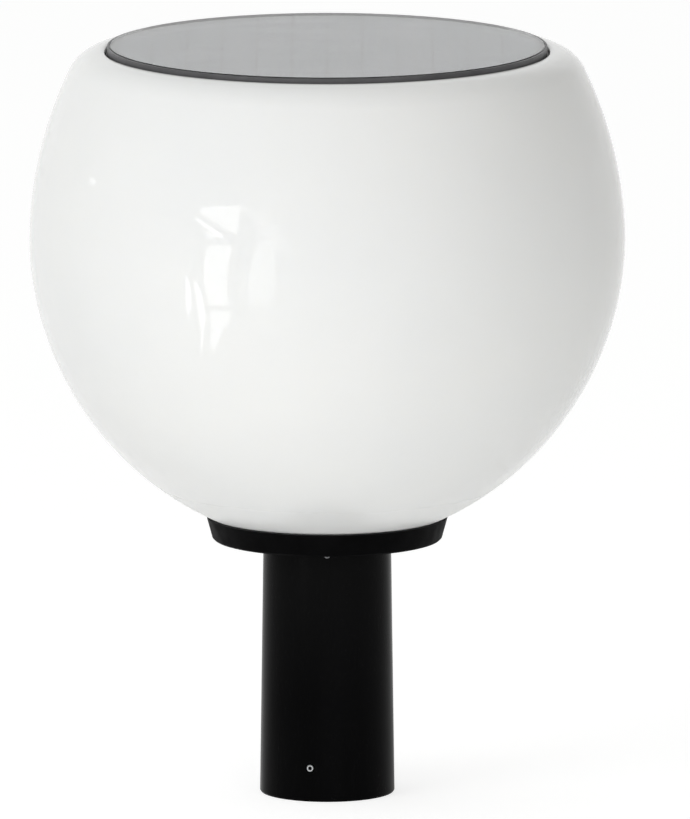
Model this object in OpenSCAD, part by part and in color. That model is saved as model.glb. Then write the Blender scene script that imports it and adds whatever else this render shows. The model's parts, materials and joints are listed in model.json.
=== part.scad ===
/* [Globe] */
// Diameter of the globe at its widest line
globe_d = 300; // [285:1:315]
// Wall of the globe
globe_wall = 3; // [2.5:0.1:4]
// Radius of the arc that rounds the globe's widest line
belt_arc_r = 130; // [120:1:140]
// Angle of that arc above the widest line
belt_up = 2.7; // [1:0.1:5]
// Angle of that arc below the widest line
belt_down = 4.1; // [1:0.1:6]
// Radius of the long arc above the widest line
upper_arc_r = 204; // [198:0.5:212]
// Radius of the arc below the widest line
lower_arc_r = 158.5; // [152:0.5:164]
// Radius of the shoulder round the solar head
shoulder_arc_r = 18.2; // [14:0.2:22]
// Angle at which the long arc turns into the shoulder
shoulder_angle = 25.8; // [24:0.2:28]
// Rounding of the globe's upper lip, into the opening
lip_round = 1.8; // [1.2:0.1:2.6]
// Width of the ledge inside the upper opening, which carries the solar head
ledge_w = 13.6; // [11:0.2:16]

/* [Collar] */
// Diameter of the collar at its upper edge
collar_top_d = 122; // [116:0.5:130]
// Diameter of the collar at its underside
collar_bottom_d = 116; // [108:0.5:120]
// Height of the collar's outside
collar_h = 12.5; // [11:0.5:18]
// Thickness of the collar's floor
collar_floor_t = 3.5; // [2.5:0.1:5]
// Bevel on the collar's outer edges
collar_bevel = 0.8; // [0.4:0.1:1.2]
// Width of the globe's seat in the collar
seat_w = 11; // [8:0.5:14]
// Thickness of the gasket under the globe
neck_gasket_t = 1; // [0.6:0.1:1.5]
// Thickness of the pad between globe and clamp ring
clamp_pad_t = 1; // [0.6:0.1:1.5]
// Thickness of the clamp ring
clamp_ring_t = 5.5; // [4:0.1:7]
// Length of the spigot that goes down into the sleeve
spigot_l = 22; // [16:0.5:28]
// Wall of that spigot
spigot_wall = 4; // [3:0.1:6]

/* [Post sleeve] */
// Length of the sleeve under the collar
sleeve_l = 129.5; // [110:0.5:150]
// Outer diameter of the sleeve at the collar
sleeve_top_d = 64.4; // [63.6:0.1:68]
// Outer diameter of the sleeve at its mouth
sleeve_mouth_d = 68; // [66:0.1:72]
// Diameter of the pole that the sleeve goes over
pole_d = 60; // [58:0.1:60.4]
// Radial clearance between sleeve and pole
pole_gap = 0.3; // [0.1:0.05:0.4]
// Step inside the sleeve on which the pole's end stops
stop_step = 0.8; // [0.5:0.1:1.2]

/* [Solar head] */
// Height of the glass above the globe's lip
panel_proud = 2.6; // [1.6:0.1:4]
// Gap between the panel tray and the globe's lip
panel_gap = 0.8; // [0.5:0.1:1.2]
// Thickness of the solar glass
glass_t = 3.2; // [2:0.1:4]
// Thickness of the solar cells
cell_t = 0.3; // [0.2:0.05:0.5]
// Thickness of the panel's board
panel_board_t = 1.6; // [1:0.1:2.4]
// Thickness of the tray's floor
tray_floor_t = 2.4; // [2:0.1:3.2]
// Thickness of the tray's rim
tray_rim_t = 1.2; // [0.8:0.1:2]
// Drop from the top of the glass to the tray's rim
rim_drop = 0.4; // [0.2:0.1:0.8]
// Thickness of the seal under the tray
head_seal_t = 1.5; // [1:0.1:2.5]
// Number of solar cell strips
cell_count = 12; // [8:2:16]
// Gap between neighbouring strips
cell_gap = 1.4; // [0.8:0.1:2.4]
// Margin between the cells and the edge of the board
cell_margin = 3.6; // [2:0.2:8]

/* [Battery housing] */
// Outer diameter of the housing
housing_d = 108; // [104:1:114]
// Wall of the housing
housing_wall = 2.2; // [1.8:0.1:3]
// Height of the housing under the tray
housing_h = 33; // [31:0.5:40]
// Thickness of the housing's door
door_t = 2.5; // [2:0.1:3.5]
// Thickness of the seal between housing and door
door_seal_t = 0.8; // [0.5:0.1:1.2]
// Diameter of one battery cell
battery_d = 18.4; // [17.8:0.1:18.8]
// Length of one battery cell
battery_l = 65; // [62:0.5:67]
// Floor and wall thickness of the battery holder
holder_t = 1.5; // [1.2:0.1:1.8]

/* [Light ring] */
// Width of the LED board's ring
led_board_w = 21; // [20:0.5:26]
// Thickness of the LED board
led_board_t = 1.6; // [1:0.1:2]
// Number of LEDs on the outer circle
led_outer_count = 20; // [12:2:28]
// Number of LEDs on the inner circle
led_inner_count = 14; // [8:2:20]
// Side of one LED
led_w = 3.5; // [2.8:0.1:5]
// Height of one LED
led_t = 0.9; // [0.6:0.1:1.4]
// Depth of the clear cover
cover_h = 7.5; // [6:0.5:10]
// Wall of the clear cover
cover_wall = 1.8; // [1.4:0.1:2.4]

/* [Power button] */
// Diameter of the button
button_d = 11; // [9:0.5:13]
// Height of the button below the door
button_proud = 2.2; // [1.6:0.1:3]
// Travel of the button
button_travel = 1.2; // [0.8:0.1:1.5]
// Distance of the button from the housing's axis
button_offset = 40; // [39:0.5:41]

/* [Fasteners] */
// Thread diameter of the clamp screws
clamp_screw_d = 3; // [2.5:0.1:3.5]
// Thread diameter of the screws that lock the sleeve to the collar
lock_screw_d = 3; // [2.5:0.5:4]
// Distance of the lock screws below the collar
lock_screw_drop = 3.8; // [3:0.1:8]
// Thread diameter of the screws that grip the pole
pole_screw_d = 4; // [3.5:0.5:6]
// Height of the pole screws above the sleeve's mouth
pole_screw_z = 17; // [12:0.5:24]
// Turn of the pole screws from the front
pole_screw_turn = 15; // [0:1:30]
// Thread diameter of the small housing screws
small_screw_d = 3; // [2.5:0.5:3.5]

/* [Hidden] */
$fn = 96;

// Clearance of parts that are assembled and then stay put
fit_gap = 0.2;
// Clearance of a thread in the solids, where screw and hole share a size
thread_gap = 0.05;
// Clearance between parts that move past each other
moving_gap = 0.3;
// Greatest distance between a curved outline and its straight steps
curve_error = 0.05;
// Overrun of a cut past the face that it opens
cut = 1;
// Wall round a screw's hole in a boss
boss_wall = 2.2;
// Bevels on turned and on moulded edges
fine_bevel = 0.5;
bevel = 0.8;

// Collar and sleeve
collar_z = sleeve_l;
collar_top = collar_z + collar_h;
floor_top = collar_z + collar_floor_t;
seat_r = collar_top_d / 2;
bore_r = pole_d / 2 + pole_gap;
socket_r = bore_r - stop_step;
stop_z = sleeve_l - spigot_l - fit_gap;
spigot_r = socket_r - fit_gap;
opening_r = seat_r - seat_w;
lock_screw_z = sleeve_l - lock_screw_drop;
lock_screw_proud = 0.3;
pole_screw_sunk = 0.3;

// Arcs of the globe's outside, each running on from the last with the same tangent
belt_x = globe_d / 2 - belt_arc_r;
lower_x = belt_x + (belt_arc_r - lower_arc_r) * cos(belt_down);
seat_drop = sqrt(pow(lower_arc_r, 2) - pow(seat_r - lower_x, 2));
lower_c = [lower_x, collar_top + seat_drop];
belt_c = [belt_x, lower_c[1] + (belt_arc_r - lower_arc_r) * sin(belt_down)];
upper_c = polar(belt_c, belt_arc_r - upper_arc_r, belt_up);
shoulder_c = polar(upper_c, upper_arc_r - shoulder_arc_r, shoulder_angle);
opening_angle = acos((opening_r - lower_x) / lower_arc_r);
lip_z = shoulder_c[1] + shoulder_arc_r;
lip_r = shoulder_c[0] - lip_round;

// Clamp ring inside the lower opening
clamp_pad_r = lower_arc_r - globe_wall - curve_error;
clamp_surface_r = clamp_pad_r - clamp_pad_t;
clamp_z = lower_c[1] - sqrt(pow(clamp_surface_r, 2) - pow(opening_r - lower_x, 2)) + 3 * fit_gap;
clamp_out_r = seat_r - boss_wall;
clamp_boss_r = clamp_screw_d / 2 + boss_wall;
clamp_pitch_r = opening_r - globe_wall - clamp_boss_r - 3 * fit_gap;
clamp_in_r = clamp_pitch_r - clamp_boss_r - 1.5;
clamp_angles = [45, 135, 225, 315];

// Solar head, from the top of the glass down
panel_top = lip_z + panel_proud;
tray_r = lip_r - panel_gap;
tray_in_r = tray_r - tray_rim_t;
glass_r = tray_in_r - fit_gap;
glass_z = panel_top - glass_t;
cell_z = glass_z - fit_gap - cell_t;
panel_board_z = cell_z - panel_board_t;
tray_z = panel_board_z - tray_floor_t;
ledge_z = tray_z - head_seal_t - moving_gap;
ledge_r = lip_r - ledge_w;
cell_r = glass_r - cell_margin;
cell_pitch = 2 * cell_r / cell_count;

// Battery housing, for three cells with a node each
battery_count = 3;
housing_r = housing_d / 2;
housing_in_r = housing_r - housing_wall;
door_z = tray_z - housing_h;
door_top = door_z + door_t;
housing_z = door_top + door_seal_t;
housing_boss_r = small_screw_d / 2 + boss_wall;
housing_pitch_r = housing_in_r - housing_boss_r - 3 * fit_gap;
housing_boss_angles = [20, 160, 200, 340];
screw_bite = 8;
csk_h = small_screw_d / 2;
rib_t = 2;
battery_pitch = battery_d + 2 * moving_gap;
spring_l = 2;
contact_t = 0.5;
contact_w = 10;
holder_w = battery_count * battery_pitch + 2 * holder_t;
holder_l = battery_l + 2 * (spring_l + contact_t + holder_t);
holder_foot_h = 1.4;
holder_z = door_top + holder_foot_h;
battery_z = holder_z + holder_t + moving_gap + battery_d / 2;
contact_top = battery_z + 0.38 * battery_d;

// Control board, hung over the cells
control_gap = 2.2;
control_z = battery_z + battery_d / 2 + control_gap;
control_t = 1.6;
control_w = 46;
control_l = 66;
post_inset = 4;

// Plugs on the control board, each by its corner and its plan size
plug_h = 3.8;
plug_z = control_z + control_t + plug_h / 2;
panel_plug = [-4, 18];
panel_plug_w = [8, 5];
battery_plug = [13, -16];
battery_plug_w = [5, 9];
led_plug = [-14, 8];
led_plug_w = [5, 12];
wire_d = 1.4;
wire_pitch = 4;
wire_hole_r = 5;

// Notch for the wires to the light ring
notch_w = 11;
notch_h = 4;

// Light ring, halfway between the housing and the globe's ledge
led_mid_r = (housing_r + ledge_r) / 2;
led_board_z = tray_z - led_board_t;
led_board_in_r = led_mid_r - led_board_w / 2;
led_board_out_r = led_mid_r + led_board_w / 2;
cover_out_r = led_board_out_r + fit_gap + cover_wall;
cover_in_r = led_board_in_r - fit_gap - cover_wall;
led_edge = 1.8;
led_outer_r = led_board_out_r - led_edge - led_w / 2;
led_inner_r = led_board_in_r + led_edge + led_w / 2;
led_screw_angles = [30, 90, 150, 210, 270, 330];
led_screw_l = 1.6;

// Button and switch
button_stem_r = 2.4;
button_flange = 0.9;
flange_t = 1;
guide_h = 1.2;
guide_wall = 1.2;
stem_l = 2.1;
switch_w = 9;
switch_h = 6;
switch_z = door_top + guide_h + moving_gap + flange_t + stem_l + button_travel;
switch_top = switch_z + switch_h;
switch_board_t = 1.6;
switch_leg_y = 9.2;
switch_leg_r = 1.2;

function polar(c, r, a) = c + r * [cos(a), sin(a)];
function half_chord(r, x) = sqrt(max(r * r - x * x, 0));

// Points along an arc, as many as its radius needs, without the last one
function arc(c, r, from, to) = let (
    n = max(ceil(abs(to - from) / (2 * acos(1 - curve_error / r))), 2)
) [for (j = [0:n - 1]) polar(c, r, from + (to - from) * j / n)];

module ring(out_r, in_r, h) {
    difference() {
        cylinder(r = out_r, h = h);
        translate([0, 0, -cut]) cylinder(r = in_r, h = h + 2 * cut);
    }
}

// Strip of thickness t just inside an arc of radius r about c
module arc_band(c, r, t, from, to) {
    translate(c) intersection() {
        difference() {
            circle(r = r);
            circle(r = r - t);
        }
        polygon([[0, 0], polar([0, 0], 2 * r, from), polar([0, 0], 2 * r, to)]);
    }
}

module at_angle(a, r) {
    rotate(a) translate([r, 0, 0]) children();
}

// Screw with a round head on top and a hexagon socket, its shank going down from the head's seat
module cap_screw(d, l) {
    head_h = 0.6 * d;
    difference() {
        union() {
            translate([0, 0, -l]) cylinder(d = d, h = l);
            cylinder(d = 1.9 * d, h = head_h);
        }
        translate([0, 0, 0.4 * head_h]) cylinder(d = 0.72 * d, h = head_h, $fn = 6);
    }
}

// Headless screw along +X from x0 to x1, with a pointed tip and its socket at the outer end
module grub_screw(d, x0, x1) {
    l = x1 - x0;
    tip = 0.22 * d;
    rim = 0.12 * d;
    translate([x0, 0, 0]) rotate([0, 90, 0]) difference() {
        rotate_extrude() polygon([
            [0, 0], [d / 2 - tip, 0], [d / 2, tip], [d / 2, l - rim], [d / 2 - rim, l], [0, l]
        ]);
        translate([0, 0, l - 0.4 * d]) cylinder(d = 0.58 * d, h = d, $fn = 6);
    }
}

function bezier(p, t) =
    pow(1 - t, 3) * p[0] + 3 * t * pow(1 - t, 2) * p[1] + 3 * t * t * (1 - t) * p[2] + pow(t, 3) * p[3];
function bezier_dir(p, t) =
    unit(pow(1 - t, 2) * (p[1] - p[0]) + 2 * t * (1 - t) * (p[2] - p[1]) + t * t * (p[3] - p[2]));
function unit(v) = v / norm(v);

// Wire along the curve of four control points, which stays clear of the direction side_way
module wire(p, d, side_way) {
    rings = 14;
    sides = 8;
    points = [for (j = [0:rings - 1]) let (
        t = j / (rings - 1),
        way = bezier_dir(p, t),
        u = unit(cross(side_way, way)),
        v = cross(way, u)
    ) for (k = [0:sides - 1]) bezier(p, t) + d / 2 * (cos(360 * k / sides) * u + sin(360 * k / sides) * v)];
    faces = concat(
        [[for (k = [0:sides - 1]) k]],
        [for (j = [0:rings - 2], k = [0:sides - 1])
            [j * sides + k, (j + 1) * sides + k, (j + 1) * sides + (k + 1) % sides]],
        [for (j = [0:rings - 2], k = [0:sides - 1])
            [j * sides + k, (j + 1) * sides + (k + 1) % sides, j * sides + (k + 1) % sides]],
        [[for (k = [sides - 1:-1:0]) (rings - 1) * sides + k]]
    );
    polyhedron(points = points, faces = faces, convexity = 4);
}

function sleeve_r(z) = (sleeve_mouth_d + (sleeve_top_d - sleeve_mouth_d) * z / sleeve_l) / 2;

// Tapered sleeve over the pole, bored right through, with a step that stops the pole
module sleeve() {
    color("#141416") difference() {
        rotate_extrude() polygon([
            [bore_r, 0], [sleeve_mouth_d / 2 - fine_bevel, 0], [sleeve_mouth_d / 2, bevel],
            [sleeve_top_d / 2, sleeve_l], [socket_r, sleeve_l], [socket_r, stop_z], [bore_r, stop_z]
        ]);
        for (i = [0:2]) {
            translate([0, 0, lock_screw_z]) rotate([0, 90, 270 + 120 * i])
                cylinder(d = lock_screw_d + 2 * thread_gap, h = sleeve_mouth_d);
            translate([0, 0, pole_screw_z]) rotate([0, 90, 270 - pole_screw_turn + 120 * i])
                cylinder(d = pole_screw_d + 2 * thread_gap, h = sleeve_mouth_d);
        }
    }
}

// Collar with the globe's seat on top and a grooved spigot below
module collar() {
    bottom_r = collar_bottom_d / 2;
    cup_r = opening_r + boss_wall;
    groove = lock_screw_d / 2;
    groove_z = lock_screw_z - collar_z + spigot_l;
    color("#101012") difference() {
        union() {
            rotate_extrude() difference() {
                polygon([
                    [0, collar_z], [bottom_r - collar_bevel, collar_z], [bottom_r, collar_z + collar_bevel],
                    [seat_r, collar_top - collar_bevel], [seat_r - collar_bevel, collar_top],
                    [cup_r, collar_top], [cup_r, floor_top], [0, floor_top]
                ]);
                intersection() {
                    translate(lower_c) circle(r = lower_arc_r + neck_gasket_t);
                    translate([cup_r - cut, floor_top]) square([seat_r, collar_h]);
                }
            }
            translate([0, 0, collar_z - spigot_l]) rotate_extrude() polygon([
                [spigot_r - spigot_wall, 0], [spigot_r - bevel, 0], [spigot_r, 1.5 * bevel],
                [spigot_r, groove_z - groove],
                [spigot_r - 0.8 * groove, groove_z],
                [spigot_r, groove_z + groove],
                [spigot_r, spigot_l + cut], [spigot_r - spigot_wall, spigot_l + cut]
            ]);
            for (a = clamp_angles) at_angle(a, clamp_pitch_r) translate([0, 0, floor_top - cut])
                cylinder(r = clamp_boss_r, h = clamp_z - fit_gap - floor_top + cut);
        }
        for (a = clamp_angles) at_angle(a, clamp_pitch_r)
            translate([0, 0, collar_z - cut]) cylinder(r = clamp_screw_d / 2 + fit_gap, h = clamp_z);
    }
}

// Soft ring between the globe and its seat in the collar
module neck_gasket() {
    gasket_r = lower_arc_r + neck_gasket_t;
    first = acos((opening_r + boss_wall + fit_gap - lower_x) / gasket_r);
    last = acos((seat_r - collar_bevel - 3 * fit_gap - lower_x) / gasket_r);
    color("#2a2a2c") rotate_extrude() arc_band(lower_c, gasket_r, neck_gasket_t, -first, -last);
}

// Opal shell in four arcs, with a rolled lip and a ledge above and a round edge below
module globe() {
    lip_c = [shoulder_c[0], lip_z - lip_round];
    edge_c = polar(lower_c, lower_arc_r - globe_wall / 2, -opening_angle);
    skirt_r = lip_r + globe_wall;
    skirt_angle = acos((skirt_r - shoulder_c[0]) / (shoulder_arc_r - globe_wall));
    color("#f2f2ee") rotate_extrude() polygon(concat(
        arc(lower_c, lower_arc_r, -opening_angle, -belt_down),
        arc(belt_c, belt_arc_r, -belt_down, belt_up),
        arc(upper_c, upper_arc_r, belt_up, shoulder_angle),
        arc(shoulder_c, shoulder_arc_r, shoulder_angle, 90),
        arc(lip_c, lip_round, 90, 180),
        [[lip_r, lip_c[1]], [lip_r, ledge_z], [ledge_r, ledge_z]],
        [[ledge_r, ledge_z - globe_wall], [skirt_r, ledge_z - globe_wall]],
        arc(shoulder_c, shoulder_arc_r - globe_wall, skirt_angle, shoulder_angle),
        arc(upper_c, upper_arc_r - globe_wall, shoulder_angle, belt_up),
        arc(belt_c, belt_arc_r - globe_wall, belt_up, -belt_down),
        arc(lower_c, lower_arc_r - globe_wall, -belt_down, -opening_angle),
        arc(edge_c, globe_wall / 2, 180 - opening_angle, 360 - opening_angle)
    ));
}

// Soft pad between the clamp ring and the inside of the globe
module clamp_pad() {
    first = acos((opening_r + fine_bevel - lower_x) / clamp_pad_r);
    last = acos((clamp_out_r - fine_bevel - lower_x) / clamp_pad_r);
    color("#5a5a5c") rotate_extrude() arc_band(lower_c, clamp_pad_r, clamp_pad_t, -first, -last);
}

// Ring inside the lower opening that the screws pull down on the globe
module clamp_ring() {
    color("#a8abae") difference() {
        rotate_extrude() intersection() {
            translate([clamp_in_r, clamp_z]) square([clamp_out_r - clamp_in_r, clamp_ring_t]);
            translate(lower_c) circle(r = clamp_surface_r);
        }
        for (a = clamp_angles) at_angle(a, clamp_pitch_r)
            translate([0, 0, clamp_z - cut])
                cylinder(r = clamp_screw_d / 2 + thread_gap, h = clamp_ring_t + 2 * cut);
    }
}

// Screw from under the collar up into the clamp ring
module clamp_screw(i) {
    color("#8d9094") at_angle(clamp_angles[i - 1], clamp_pitch_r)
        translate([0, 0, collar_z]) rotate([180, 0, 0])
            cap_screw(clamp_screw_d, clamp_z + clamp_ring_t - fine_bevel - collar_z);
}

// Headless screw through the sleeve into the spigot's groove
module lock_screw(i) {
    color("#4c4e52") translate([0, 0, lock_screw_z]) rotate(270 + 120 * (i - 1))
        grub_screw(lock_screw_d, spigot_r - 0.12 * lock_screw_d, sleeve_r(lock_screw_z) + lock_screw_proud);
}

// Headless screw through the sleeve on to the pole
module pole_screw(i) {
    color("#4c4e52") translate([0, 0, pole_screw_z]) rotate(270 - pole_screw_turn + 120 * (i - 1))
        grub_screw(pole_screw_d, bore_r + fit_gap, sleeve_r(pole_screw_z) - pole_screw_sunk);
}

// Dark tray that holds the panel and covers the globe's opening
module panel_tray() {
    rim_top = panel_top - rim_drop;
    rim_bevel = tray_rim_t / 6;
    color("#55565a") difference() {
        rotate_extrude() polygon([
            [0, tray_z], [tray_r - fine_bevel, tray_z], [tray_r, tray_z + fine_bevel],
            [tray_r, rim_top - rim_bevel], [tray_r - rim_bevel, rim_top],
            [tray_in_r, rim_top], [tray_in_r, panel_board_z], [0, panel_board_z]
        ]);
        for (a = housing_boss_angles) at_angle(a, housing_pitch_r) {
            translate([0, 0, tray_z - cut])
                cylinder(d = small_screw_d + 2 * fit_gap, h = tray_floor_t + 2 * cut);
            translate([0, 0, panel_board_z - csk_h]) cylinder(
                r1 = small_screw_d / 2 + fit_gap,
                r2 = small_screw_d / 2 + csk_h + 2 * fit_gap,
                h = csk_h + curve_error
            );
        }
        for (a = led_screw_angles) at_angle(a, led_mid_r) translate([0, 0, tray_z - cut])
            cylinder(d = small_screw_d + 2 * thread_gap, h = led_screw_l + fit_gap + cut);
        translate([0, 0, tray_z - cut]) cylinder(r = wire_hole_r, h = tray_floor_t + 2 * cut);
    }
}

// Soft ring under the tray, which lands on the globe's ledge
module head_seal() {
    color("#2c2c2e") translate([0, 0, tray_z - head_seal_t])
        ring(tray_r - 2 * fine_bevel, ledge_r + 2 * bevel, head_seal_t);
}

// Board under the solar cells
module panel_board() {
    color("#18191c") translate([0, 0, panel_board_z]) difference() {
        cylinder(r = glass_r, h = panel_board_t);
        for (x = [-1, 1]) translate([x * wire_pitch / 2, 0, -cut])
            cylinder(r = 0.7 * wire_d, h = panel_board_t + 2 * cut);
    }
}

// Solar cell strips, cut to the round of the board
module solar_cells() {
    color("#1a2236") translate([0, 0, cell_z]) linear_extrude(cell_t) intersection() {
        circle(r = cell_r);
        union() {
            for (i = [0:cell_count - 1])
                translate([-cell_r + i * cell_pitch + cell_gap / 2, -cell_r])
                    square([cell_pitch - cell_gap, 2 * cell_r]);
        }
    }
}

// Ribbons that lie along each strip and join it to the next
module cell_ribbons() {
    ribbon_w = 1.2;
    ribbon_t = 0.12;
    color("#b8bcc2") translate([0, 0, cell_z + cell_t]) for (i = [0:cell_count - 1]) {
        x = -cell_r + (i + 0.5) * cell_pitch;
        reach = half_chord(cell_r, abs(x) + cell_pitch / 2) - 0.5;
        if (reach > 2) translate([x - ribbon_w / 2, -reach, 0]) cube([ribbon_w, 2 * reach, ribbon_t]);
    }
}

// Clear glass, flush to the tray's edge
module solar_glass() {
    glass_bevel = 0.3;
    color("#9a9ca0") translate([0, 0, glass_z]) rotate_extrude() polygon([
        [0, 0], [glass_r, 0], [glass_r, glass_t - glass_bevel], [glass_r - glass_bevel, glass_t], [0, glass_t]
    ]);
}

// Round housing under the tray, with screw bosses down its inside
module housing() {
    color("#e6e7e6") difference() {
        union() {
            translate([0, 0, housing_z]) ring(housing_r, housing_in_r, tray_z - housing_z);
            for (a = housing_boss_angles) at_angle(a, housing_pitch_r) translate([0, 0, housing_z]) {
                cylinder(r = housing_boss_r, h = tray_z - housing_z);
                translate([0, -rib_t / 2, 0])
                    cube([housing_in_r - housing_pitch_r + housing_wall / 4, rib_t, tray_z - housing_z]);
            }
        }
        for (a = housing_boss_angles) at_angle(a, housing_pitch_r) translate([0, 0, door_z])
            cylinder(r = small_screw_d / 2 + thread_gap, h = housing_h + cut);
        // Notch for the wires to the light ring
        rotate(90) translate([housing_in_r - cut, -notch_w / 2, tray_z - notch_h])
            cube([housing_wall + 2 * cut, notch_w, notch_h + cut]);
    }
}

// Countersunk screw through the tray into a boss
module housing_screw(i) {
    color("#8d9094") at_angle(housing_boss_angles[i - 1], housing_pitch_r) translate([0, 0, panel_board_z]) {
        difference() {
            union() {
                translate([0, 0, -csk_h])
                    cylinder(r1 = small_screw_d / 2, r2 = small_screw_d / 2 + csk_h, h = csk_h);
                translate([0, 0, -tray_floor_t - screw_bite])
                    cylinder(d = small_screw_d, h = tray_floor_t + screw_bite - csk_h / 2);
            }
            translate([0, 0, -0.6 * csk_h]) cylinder(d = 0.6 * small_screw_d, h = cut + csk_h, $fn = 6);
        }
    }
}

// Door that closes the housing from below, with the button's hole
module door() {
    color("#e0e1e0") difference() {
        union() {
            translate([0, 0, door_z]) rotate_extrude() polygon([
                [0, 0], [housing_r - bevel, 0], [housing_r, bevel], [housing_r, door_t], [0, door_t]
            ]);
            // Guide for the button
            translate([button_offset, 0, door_z + door_t / 2])
                cylinder(r = button_d / 2 + moving_gap + guide_wall, h = guide_h + door_t / 2);
        }
        translate([button_offset, 0, door_z - cut])
            cylinder(r = button_d / 2 + moving_gap, h = door_t + guide_h + 2 * cut);
        for (a = housing_boss_angles) at_angle(a, housing_pitch_r) translate([0, 0, door_z - cut])
            cylinder(d = small_screw_d + 2 * fit_gap, h = door_t + 2 * cut);
    }
}

// Soft ring between the door and the housing's wall
module door_seal() {
    color("#2c2c2e") translate([0, 0, door_top]) ring(housing_r - 0.3, housing_in_r, door_seal_t);
}

// Screw from below through the door into a boss
module door_screw(i) {
    color("#8d9094") at_angle(housing_boss_angles[i - 1], housing_pitch_r) translate([0, 0, door_z])
        rotate([180, 0, 0]) cap_screw(small_screw_d, door_t + screw_bite);
}

// Open holder with a trough for each battery cell
module battery_holder() {
    wall_h = 0.45 * battery_d;
    trough_d = battery_d + 2 * fit_gap;
    foot_r = 2.5;
    foot_inset = foot_r + holder_t;
    color("#232426") difference() {
        translate([-holder_w / 2, -holder_l / 2, holder_z]) cube([holder_w, holder_l, holder_t + wall_h]);
        for (i = [1:battery_count]) translate([battery_x(i), -holder_l / 2 + holder_t, battery_z])
            rotate([-90, 0, 0]) cylinder(d = trough_d, h = holder_l - 2 * holder_t);
        translate([-holder_w / 2 + holder_t, -holder_l / 2 + holder_t, battery_z])
            cube([holder_w - 2 * holder_t, holder_l - 2 * holder_t, wall_h]);
    }
    // Feet down to the door
    color("#232426") for (x = [-1, 1], y = [-1, 1])
        translate([x * (holder_w / 2 - foot_inset), y * (holder_l / 2 - foot_inset), door_top])
            cylinder(r = foot_r, h = holder_foot_h + holder_t / 4);
}

function battery_x(i) = (i - (battery_count + 1) / 2) * battery_pitch;

// Battery cell with its raised pole
module battery(i) {
    flip = (i % 2 == 0) ? 180 : 0;
    pole_h = 1;
    color("#3f7f5f") translate([battery_x(i), 0, battery_z]) rotate(flip) rotate([-90, 0, 0]) {
        translate([0, 0, -battery_l / 2]) cylinder(d = battery_d, h = battery_l - pole_h);
        translate([0, 0, battery_l / 2 - pole_h]) cylinder(d = battery_d / 3, h = pole_h);
    }
}

// Spring plates at both ends of each cell
module battery_contacts() {
    plate_y = holder_l / 2 - holder_t - contact_t / 2;
    color("#c9ccd0") for (i = [1:battery_count], end = [-1, 1]) {
        translate([battery_x(i) - contact_w / 2, end * plate_y - contact_t / 2, battery_z - contact_w / 2])
            cube([contact_w, contact_t, contact_top - battery_z + contact_w / 2]);
        translate([battery_x(i), end * (battery_l + spring_l) / 2, battery_z]) rotate([90, 0, 0])
            cylinder(d = contact_w / 2, h = spring_l - fit_gap / 2, center = true);
    }
}

// Board that charges the cells and drives the light
module control_board() {
    color("#1f6b3c") difference() {
        translate([-control_w / 2, -control_l / 2, control_z]) cube([control_w, control_l, control_t]);
        for (x = [-1, 1], y = [-1, 1])
            translate([x * (control_w / 2 - post_inset), y * (control_l / 2 - post_inset), control_z - cut])
                cylinder(d = small_screw_d + 2 * fit_gap, h = control_t + 2 * cut);
    }
}

// Coil, chips and three plugs on the board's upper side
module control_parts() {
    top = control_z + control_t;
    color("#303236") {
        translate([-12, -10, top]) cylinder(r = 5, h = 3.6);
        translate([4, -14, top]) cube([6, 8, 1.6]);
        translate([6, 4, top]) cube([9, 7, 1.8]);
        for (plug = [[panel_plug, panel_plug_w], [battery_plug, battery_plug_w], [led_plug, led_plug_w]])
            translate([plug[0][0], plug[0][1], top]) cube([plug[1][0], plug[1][1], plug_h]);
    }
}

// Posts that hang the board under the tray, each with its screw
module board_posts() {
    top = control_z + control_t;
    head_h = 0.8 * control_gap;
    color("#b48a3c") for (x = [-1, 1], y = [-1, 1])
        translate([x * (control_w / 2 - post_inset), y * (control_l / 2 - post_inset), 0]) {
            translate([0, 0, top]) cylinder(r = small_screw_d, h = tray_z - top, $fn = 6);
            translate([0, 0, control_z - head_h / 2]) cylinder(d = small_screw_d, h = control_t + head_h);
            translate([0, 0, control_z - head_h]) cylinder(d = 1.8 * small_screw_d, h = head_h);
        }
}

// Metal board in a ring round the housing
module led_board() {
    color("#f0f0ee") translate([0, 0, led_board_z]) difference() {
        ring(led_board_out_r, led_board_in_r, led_board_t);
        for (a = led_screw_angles) at_angle(a, led_mid_r) translate([0, 0, -cut])
            cylinder(d = small_screw_d + 2 * fit_gap, h = led_board_t + 2 * cut);
    }
}

// White LEDs on two circles, facing down into the globe
module leds() {
    color("#f6e27a") translate([0, 0, led_board_z - led_t]) {
        for (i = [0:led_outer_count - 1]) at_angle(360 * (i + 0.5) / led_outer_count, led_outer_r)
            translate([-led_w / 2, -led_w / 2, 0]) cube([led_w, led_w, led_t]);
        for (i = [0:led_inner_count - 1]) at_angle(360 * i / led_inner_count, led_inner_r)
            translate([-led_w / 2, -led_w / 2, 0]) cube([led_w, led_w, led_t]);
    }
}

// Clear trough that covers the LEDs
module led_cover() {
    color("#dfe8ee", 0.5) difference() {
        translate([0, 0, tray_z - cover_h]) rotate_extrude() polygon([
            [cover_in_r, bevel], [cover_in_r + bevel, 0], [cover_out_r - bevel, 0], [cover_out_r, bevel],
            [cover_out_r, cover_h], [cover_out_r - cover_wall, cover_h],
            [cover_out_r - cover_wall, cover_wall],
            [cover_in_r + cover_wall, cover_wall], [cover_in_r + cover_wall, cover_h], [cover_in_r, cover_h]
        ]);
        rotate(90) translate([cover_in_r - cut, -notch_w / 2, tray_z - notch_h])
            cube([cover_wall + 2 * cut, notch_w, notch_h + cut]);
    }
}

// Screws that hold the LED board to the tray
module led_screws() {
    color("#8d9094") for (a = led_screw_angles) at_angle(a, led_mid_r) translate([0, 0, led_board_z])
        rotate([180, 0, 0]) cap_screw(small_screw_d, led_board_t + led_screw_l);
}

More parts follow.
